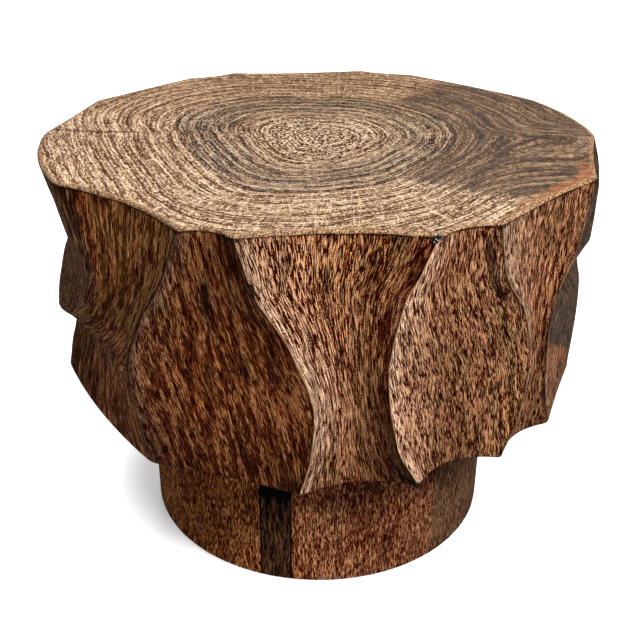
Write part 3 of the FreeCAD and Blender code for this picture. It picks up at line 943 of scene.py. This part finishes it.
def drumTone(places, shares):
    # painted light, painted sheen and red from each panel's left flank to its right one, changed from its
    # foot to its rim
    tone = np.array([[np.interp(places, drum["castPlaces"], part) for part in np.transpose(cast)]
                     for cast in eachPanel("cast")])
    tone = np.repeat(tone.transpose(0, 2, 1)[None], len(shares), axis=0)
    rises, fades = [
        np.array([np.interp(shares, (0, 0.5, 1), values) for values in eachPanel(name, (1, 1, 1))]).T
        for name in ("rise", "fade")
    ]
    lean = eachPanel("lean", 0.0)[None, :, None] * (places - 0.4) * (2 * shares - 1)[:, None, None]
    tone[..., 0] *= rises[:, :, None] * (1 + lean)
    tone[..., 1] *= fades[:, :, None]
    # a streak of painted sheen that leans to the right as it climbs
    for number, panel in enumerate(panels):
        if "streak" in panel:
            away = places[None] - 0.03 - panel["streak"] * shares[:, None]
            shown = smoothStep(0.62, 0.42, shares)[:, None]
            tone[:, number, :, 1] += 0.6 * np.exp(-(away / 0.06) ** 2) * shown
    return tone


def charredDepth(places, shares):
    # the lens is charred above a line that falls to the right, with a brown gap across it
    lensFoot = 0.42 - 0.33 * places
    gapMiddle, gapHalf = 0.69 - 0.09 * places, 0.042 - 0.012 * places
    shares = shares[:, None]
    brownGap = 1 - np.clip(1.4 * np.exp(-((shares - gapMiddle) / gapHalf) ** 2), 0, 1)
    depth = smoothStep(-0.05, 0.05, shares - lensFoot) * smoothStep(0, 0.03, places) * brownGap
    return eachPanel("charred", 0)[None, :, None] * depth[:, None]


def makeDrum():
    places = panelPlaces()
    columns = drum["columns"]
    total = len(panels) * columns
    quarter = np.radians(np.linspace(0, 90, 7))
    lowerTurn, rimTurn = quarter[::-1][:-1, None], quarter[1:, None]
    sideShares = np.linspace(0, 1, drum["sideRows"])
    shares = np.concatenate([np.zeros(len(lowerTurn)), sideShares, np.ones(len(rimTurn))])
    outlines, widths = drumOutlines(shares, places)
    rings = outlines[:, :, :-1].reshape(len(shares), total, 2)

    # softens the ridges: each point near one moves towards the mean of its neighbours
    near = np.minimum(places[:-1], 1 - places[:-1])
    edgeMask = np.tile(smoothStep(*drum["ridgeReach"], near), len(panels))[None, :, None]
    for _ in range(drum["ridgePasses"]):
        mean = (np.roll(rings, 1, axis=1) + np.roll(rings, -1, axis=1)) / 2
        rings = rings + (mean - rings) * 0.5 * edgeMask

    # the rim and the lower edge are quarter rounds, and the rim's radius varies a little
    rim = atHeights(rings[-1:], drumHigh.z)[0]
    rimRound = drum["rimRound"] * (1 + drum["rimVaries"] * softNoise(rim, drum["rimCell"], 3))
    lowerRound = np.full(total, drum["lowerRound"])
    inset = np.concatenate([lowerRound * (1 - np.cos(lowerTurn)), np.zeros((len(sideShares), total)),
                            rimRound * (1 - np.cos(rimTurn))])
    sideBottom, sideTop = drumLow.z + lowerRound, drumHigh.z - rimRound
    heights = np.concatenate([
        drumLow.z + lowerRound * (1 - np.sin(lowerTurn)),
        sideBottom + (sideTop - sideBottom) * sideShares[:, None],
        sideTop + rimRound * np.sin(rimTurn),
    ])
    solid = np.concatenate([rings, heights[..., None]], -1)
    fineNoise, broadNoise = softNoise(solid, drum["fineCell"], 5), softNoise(solid, drum["broadCell"], 6)
    nicks = np.maximum(softNoise(solid, drum["nickCell"], 7), 0) * edgeMask[..., 0]
    level = smoothStep(0, 0.01, heights - drumLow.z) * smoothStep(0, 0.01, drumHigh.z - heights)
    brushed = drum["relief"] * (0.9 + fineNoise * 0.6 + broadNoise * 0.6)
    worn = (brushed + drum["ridgeNicks"] * nicks) * (0.25 + 0.75 * level)
    body = solid.copy()
    body[..., :2] *= (1 - (inset + worn) / np.linalg.norm(rings, axis=-1))[..., None]

    # the top runs in to the heart, and the underside runs in to the socket
    topShares, underShares = [np.array(drum[name])[:, None, None] for name in ("topShares", "underShares")]
    top = atHeights(body[-1][None, :, :2] * topShares, drumHigh.z)
    foot = body[0][:, :2]
    heading = foot / np.linalg.norm(foot, axis=-1, keepdims=True)
    socketEdge = heading * drum["socketRadius"]
    under = socketEdge + (foot - socketEdge) * underShares
    ceiling = drumLow.z + drum["socketDepth"]
    socket = heading * np.array([0.02, 0.07, drum["socketRadius"]])[:, None, None]
    allRings = np.concatenate([atHeights(socket, ceiling), atHeights(under, drumLow.z), body, top])
    piece = ringShell("carvedDrum", allRings, (0, 0, ceiling), (0, 0, drumHigh.z))
    before, after = len(socket) + len(under), len(top)

    def padded(grid):
        # repeats the first and the last row for the rings below and above the body
        first, last = np.repeat(grid[:1], before, axis=0), np.repeat(grid[-1:], after, axis=0)
        return np.concatenate([first, grid, last])

    # the shader's values at each face corner
    columnIndex = np.arange(len(panels))[:, None] * columns + np.arange(columns + 1)[None]
    upGrid = closeOutline(heights)[:, columnIndex]
    setDrumGrain(piece, places, widths, upGrid, padded)
    fromLeft, fromRight = places * widths[:, :, None], (1 - places) * widths[:, :, None]
    edges = np.stack([fromLeft, fromRight, stainDepth(places, shares, widths, drumHigh.z - drumLow.z)], -1)
    for name, grid in (("tone", drumTone(places, shares)), ("edges", edges)):
        opaque = np.concatenate([grid, np.ones((*grid.shape[:-1], 1))], -1)
        setCorners(piece, name, "FLOAT_COLOR", cornerValues(padded(opaque)))
    setCorners(piece, "charred", "FLOAT", cornerValues(padded(charredDepth(places, shares)[..., None])))
    rimGap = padded((drumHigh.z - upGrid)[..., None])
    rimGap[:before] = 0
    rimGap[-after:] = -drum["rimRadius"] * (1 - topShares[..., None])
    setCorners(piece, "rimGap", "FLOAT", cornerValues(rimGap))

    # the side wood covers the rows up to the rim; the rim, the top and the underside are end grain
    finish = np.zeros(len(allRings) - 1, int)
    finish[:before] = 1
    finish[before + len(lowerTurn) + len(sideShares) - 1:] = 1
    setFinish(piece, [drumSideWood, endGrainWood], finish, total)
    return piece


carvedDrum = makeDrum()
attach(carvedDrum, "root")
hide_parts("carved_drum")
print("drum made:", len(carvedDrum.data.polygons), "faces")


# The plinth: a turned foot with a groove for the stripe and a tenon on top

plinth = {
    "radius": 0.2068,
    "footRound": 0.003,
    "stripeAzimuth": math.radians(-13),
    "stripeWidth": 0.037,
    "stripeDepth": 0.009,
    "glueGap": 0.0001,
    "tenonRadius": 0.13,
    "columns": 420,
    "rows": 44,
    "turned": 0.001,
    "relief": 0.00025,
    "wear": (1.0, 1.0, (0.008, 0.008, 0.03), 11),
}
stripe = {
    "columns": 20,
    "rows": 40,
    "turned": 0.0001,
    "wear": (1.3, 1.2, (0.006, 0.006, 0.02), 17),
}


def turnedToStripe(outline):
    # turns points drawn with the stripe at the front to the stripe's own azimuth
    across, deep = outline[..., 0], outline[..., 1]
    along, aside = math.cos(plinth["stripeAzimuth"]), math.sin(plinth["stripeAzimuth"])
    return np.stack([across * along - deep * aside, across * aside + deep * along], -1)


def turnedWalls(outline, low, high, face, settings):
    # the outline at each height, cut back by the rounded foot, and by wear where it reaches the turned face
    roundness = plinth["footRound"]
    heights = np.concatenate([low + roundness * (1 - np.cos(np.radians(np.linspace(0, 90, 6)))),
                              np.linspace(low + roundness, high, settings["rows"])[1:]])
    rings = atHeights(outline[None], heights)
    least, varied, cell, seed = settings["wear"]
    worn = plinth["relief"] * (least + varied * softNoise(rings, cell, seed))
    rise = np.clip(roundness - (heights - low), 0, roundness)[:, None]
    reach = np.linalg.norm(outline, axis=-1)[None]
    length = np.minimum(reach, plinth["radius"] - roundness + np.sqrt(roundness ** 2 - rise ** 2))
    length = np.where(reach > face - settings["turned"], length - worn, length)
    rings[..., :2] *= (length / reach)[..., None]
    return rings


def turnedPiece(name, outline, rings, middle, high, material):
    # the grain runs up the walls, with the way round the outline across it
    piece = ringShell(name, rings, (*middle, rings[0, 0, 2]), (*middle, high))
    piece.data.materials.append(material)
    closed = closeOutline(outline[None])[0]
    along = np.concatenate([[0], np.cumsum(np.linalg.norm(np.diff(closed, axis=0), axis=-1))])
    grain = np.stack(np.broadcast_arrays(along[None, None], rings[:, 0, 2][:, None, None]), -1)
    setGrain(piece, cornerValues(grain))
    return piece


def groovedPlan(gap, around, side, settings):
    # the turned face's arc, either round the plinth (1) or over the stripe (-1), then the three straight
    # sides of the groove, which a gap widens
    radius = plinth["radius"]
    halfWidth = plinth["stripeWidth"] / 2 + gap
    depth = radius - plinth["stripeDepth"] - gap
    halfAngle = math.asin(halfWidth / radius)
    edge = radius * math.cos(halfAngle)
    last = 2 * math.pi - halfAngle if around > 0 else halfAngle
    down = np.linspace(edge, depth, side + 1)[1:]
    outline = turnedToStripe(np.concatenate([
        onCircle(radius, np.linspace(around * halfAngle, last, settings["columns"])),
        inPlan(-around * halfWidth, -down),
        inPlan(around * np.linspace(-halfWidth, halfWidth, 9)[1:-1], -depth),
        inPlan(around * halfWidth, -down[::-1]),
    ]))
    return outline, edge, depth


def makePlinth():
    radius = plinth["radius"]
    outline = groovedPlan(plinth["glueGap"], 1, 3, plinth)[0]
    walls = turnedWalls(outline, plinthLow.z, drumLow.z, radius, plinth)
    foot = atHeights(walls[0][None, :, :2] * np.array([0.3, 0.7, 0.97])[:, None, None], plinthLow.z)
    tenon = outline / np.linalg.norm(outline, axis=-1, keepdims=True) * plinth["tenonRadius"]
    shoulder = atHeights(np.stack([outline * 0.985, outline * 0.8, tenon, tenon, tenon * 0.5]),
                         [drumLow.z] * 3 + [plinthHigh.z] * 2)
    rings = np.concatenate([foot, walls, shoulder])
    return turnedPiece("turnedPlinth", outline, rings, (0, 0), plinthHigh.z, plinthWood)


def makeStripe():
    # a slab with a curved face, worn like the wall round it
    outline, edge, depth = groovedPlan(0.0, -1, 4, stripe)
    rings = turnedWalls(outline, stripeLow.z, stripeHigh.z, edge, stripe)
    middle = turnedToStripe(np.array([0, -(plinth["radius"] + depth) / 2]))
    return turnedPiece("plinthStripe", outline, rings, middle, stripeHigh.z, stripeWood)


turnedPlinth = makePlinth()
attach(turnedPlinth, "root")
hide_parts("plinth")
plinthStripe = makeStripe()
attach(plinthStripe, "root")
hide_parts("plinth_stripe")
print("plinth made:", len(turnedPlinth.data.polygons), "faces")


# The felt under the plinth, with a soft edge

felt = {"columns": 240, "edge": 0.0012, "fuzz": 0.0004}


def makeFelt():
    # a disc whose edge is a half round, roughened a little
    angles = np.linspace(0, 2 * math.pi, felt["columns"], endpoint=False)
    radius = feltHigh.x
    turn = np.radians(np.linspace(-90, 90, 7))
    middle, half = (feltLow.z + feltHigh.z) / 2, (feltHigh.z - feltLow.z) / 2
    inner = [radius * 0.4, radius * 0.9]
    radii = np.concatenate([inner, radius - felt["edge"] * (1 - np.cos(turn)), inner[::-1]])
    heights = np.concatenate([[feltLow.z] * 2, middle + half * np.sin(turn), [feltHigh.z] * 2])
    rings = atHeights(onCircle(radii[:, None], angles[None]), heights)
    fuzz = felt["fuzz"] * (0.5 + 0.5 * softNoise(rings, (0.002, 0.002, 0.002), 23))
    rings[..., :2] *= (1 - fuzz / radius)[..., None]
    piece = ringShell("baseFelt", rings, (0, 0, feltLow.z), (0, 0, feltHigh.z))
    piece.data.materials.append(darkFelt)
    return piece


baseFelt = makeFelt()
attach(baseFelt, "root")
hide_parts("base_felt")


# The fillers: small dark lumps on ridges of the drum. A spot is the panel whose left ridge it is on, the
# height share, and the edge of the drum that it wraps, if any.

fillers = {
    "rim_knot_filler": dict(spot=(2, 1.0, "rim"), width=0.0085, height=0.007, proud=0.0004, chips=1.0),
    "ridge_crack_filler": dict(spot=(1, 0.82, ""), width=0.0022, height=0.0085, proud=0.0005, chips=0.0),
    "ridge_tip_filler": dict(spot=(2, 0.0, "lower"), width=0.0075, height=0.0065, proud=0.002, chips=0.0),
}

# how far a filler's core lies in the wood, and at least how far below the top or above the drum's underside
fillerDepth, fillerMargin = 0.009, 0.006


def ridgeSurface(spot, across, rise):
    # points on the drum beside a ridge: across it, up it, and round the rim or the lower edge where rise
    # passes them
    panelNumber, share, corner = spot
    height = drumHigh.z - drumLow.z
    inset, drop = np.zeros_like(rise), rise
    if corner:
        roundness = drum[corner + "Round"]
        climb = -rise if corner == "rim" else rise
        turn = np.clip(climb / roundness + math.pi / 4, 0, math.pi / 2)
        inset = roundness * (1 - np.sin(turn)) + np.maximum(-climb - roundness * math.pi / 4, 0)
        drop = roundness * (1 - np.cos(turn)) + np.maximum(climb - roundness * math.pi / 4, 0)
    heights = drumHigh.z - drop if corner == "rim" else drumLow.z + height * share + drop
    shares = np.clip((heights - drumLow.z) / height, 0, 1)
    flat = shares.ravel()
    outlines, widths = drumOutlines(flat, np.array([0.0, 1.0]))
    leftWidth, rightWidth = widths[:, panelNumber - 1], widths[:, panelNumber]
    offsets = across.ravel()
    place = np.where(offsets < 0, 1 + offsets / leftWidth, offsets / rightWidth)
    rows = np.arange(len(flat))
    chosen = np.where(offsets < 0, panelNumber - 1, panelNumber)
    left, right = outlines[rows, chosen, 0], outlines[rows, chosen, 1]
    depths = drum["rimRadius"] * panelCurves("hollow", flat)[rows, chosen]
    chord = left + (right - left) * place[:, None]
    middle = (left + right) / 2
    inward = -middle / np.linalg.norm(middle, axis=-1, keepdims=True)
    points = chord + inward * (depths * 4 * place * (1 - place) + inset.ravel())[:, None]
    return np.concatenate([points, heights.ravel()[:, None]], -1).reshape(*across.shape, 3)


def makeFiller(name, settings):
    # a lump: rings of an oval on the carved surface, then the same oval shrinking into the wood
    angles = np.linspace(0, 2 * math.pi, 40, endpoint=False)
    ragged = 1 + 0.22 * np.sin(3 * angles + 1) + 0.12 * np.sin(5 * angles)
    spreads = np.array([0.2, 0.45, 0.7, 0.88, 1.0])[:, None]
    across = spreads * ragged * settings["width"] * np.cos(angles)
    rise = spreads * ragged * settings["height"] * np.sin(angles)
    front = ridgeSurface(settings["spot"], across, rise)
    origin = ridgeSurface(settings["spot"], np.zeros((1, 1)), np.zeros((1, 1)))[0, 0]
    core = origin.copy()
    core[2] = np.clip(origin[2], drumLow.z + fillerMargin, drumHigh.z - fillerMargin)
    core[:2] *= 1 - fillerDepth / np.linalg.norm(core[:2])
    outward = front - core
    outward /= np.linalg.norm(outward, axis=-1, keepdims=True)
    lumpy = 1 + 0.5 * softNoise(front, (0.003,) * 3, 31)[..., None]
    dome = settings["proud"] * (1 - spreads[..., None] ** 2) * lumpy
    front = front + outward * (dome - drum["relief"])
    front[..., 2] = np.clip(front[..., 2], drumLow.z, drumHigh.z)
    backward = front[-1][None] + (core - front[-1])[None] * np.array([0.35, 0.75])[:, None, None]
    rings = np.concatenate([backward[::-1], front[::-1]])
    tip = front[0].mean(0)
    tip += (tip - core) / np.linalg.norm(tip - core) * 0.0001
    tip[2] = np.clip(tip[2], drumLow.z, drumHigh.z)
    piece = ringShell(name.title().replace("_", ""), rings, tuple(core), tuple(tip))
    piece.data.materials.append(blackFiller)
    setCorners(piece, "chips", "FLOAT", np.full(len(piece.data.loops), settings["chips"]))
    return piece


for fillerName, fillerSettings in fillers.items():
    lump = makeFiller(fillerName, fillerSettings)
    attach(lump, "root")
    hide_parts(fillerName)
print("fillers made:", len(fillers))

# The lag screws keep their solids and get a zinc finish.
for nodeName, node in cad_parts.items():
    if nodeName.startswith("lag_screw"):
        node.data.materials.clear()
        node.data.materials.append(zincSteel)


# Studio: pale floor, soft light from the front right, and the photograph's camera

white = (1.0, 1.0, 1.0, 1.0)
studio = {
    "floorSize": 14.0,
    "floorColour": (0.8, 0.8, 0.8, 1.0),
    "worldShown": 1.0,
    "worldLight": 0.26,
    "shadowCentre": (-0.055, 0.03, 0.0),
    "shadowReach": (0.165, 0.23),
    "floorGlow": (0.33, 0.92),
    "floorBounce": 0.3,
    "lens": 54.85,
    "eye": (0.0, -1.0529, 0.7781),
    "target": (0.0, 0.0, 0.183),
    "roll": 0.010,
    "shiftX": 0.0019,
    "shiftY": 0.056,
}


def makeFloor():
    half = studio["floorSize"] / 2
    mesh = bpy.data.meshes.new("floor")
    corners = [(-half, -half, 0), (half, -half, 0), (half, half, 0), (-half, half, 0)]
    mesh.from_pydata(corners, [], [(0, 1, 2, 3)])
    material, wire, surface = newMaterial("paleFloor", 0.9, 0.0)
    shown = wire.read("Is Camera Ray", "ShaderNodeLightPath")
    bounce = studio["floorBounce"]
    wire.feed(surface["Base Color"], wire.mix(shown, (bounce, bounce, bounce, 1.0), studio["floorColour"]))
    surface["Emission Color"].default_value = white
    # painted contact shadow: the floor's glow, seen only by the camera, dips near the plinth's left
    away = wire.vectors("LENGTH", wire.vectors("SUBTRACT", wire.place(), studio["shadowCentre"]))
    glow = wire.between(away, *studio["shadowReach"], *studio["floorGlow"])
    wire.feed(surface["Emission Strength"], shown * glow)
    mesh.materials.append(material)
    return newObject("floor", mesh)


def aimed(place, target):
    # the matrix of a lamp or camera that looks from one point at another, upright
    heading = Vector(target) - Vector(place)
    return Matrix.Translation(place) @ heading.to_track_quat("-Z", "Y").to_matrix().to_4x4()


def makeLight(name, place, target, size, power, colour):
    light = bpy.data.lights.new(name, "AREA")
    light.shape = "DISK"
    light.size = size
    light.energy = power
    light.color = colour
    lamp = newObject(name, light)
    lamp.matrix_world = aimed(place, target)
    return lamp


def makeCamera():
    # the camera looks from eye to target and is turned about its own line of sight by the roll
    camera = newObject("camera", bpy.data.cameras.new("camera"))
    camera.matrix_world = aimed(studio["eye"], studio["target"]) @ Matrix.Rotation(studio["roll"], 4, "Z")
    camera.data.lens = studio["lens"]
    camera.data.sensor_width = 36
    camera.data.shift_x = studio["shiftX"]
    camera.data.shift_y = studio["shiftY"]
    bpy.context.scene.camera = camera


def makeWorld():
    # a white room that looks brighter than it lights
    world = bpy.data.worlds.new("studio")
    world.use_nodes = True
    wire = Wiring(world.node_tree)
    background = world.node_tree.nodes["Background"].inputs
    background["Color"].default_value = white
    shown = wire.read("Is Camera Ray", "ShaderNodeLightPath")
    extra = studio["worldShown"] - studio["worldLight"]
    wire.feed(background["Strength"], shown * extra + studio["worldLight"])
    bpy.context.scene.world = world


floor = makeFloor()
makeLight("key", (1.45, -1.72, 2.55), (0, 0, 0.3), 1.0, 112, (1.0, 0.97, 0.94))
back = makeLight("back", (-0.5, 2.4, 0.6), (0, 0, 0.25), 0.9, 34, (1.0, 0.98, 0.96))
back.visible_glossy = False
makeLight("overhead", (0.1, -0.2, 2.6), (0, 0, 0.4), 1.6, 13, (1.0, 0.98, 0.96))
makeCamera()
makeWorld()
bpy.context.scene.view_settings.view_transform = "Standard"
print("studio made")
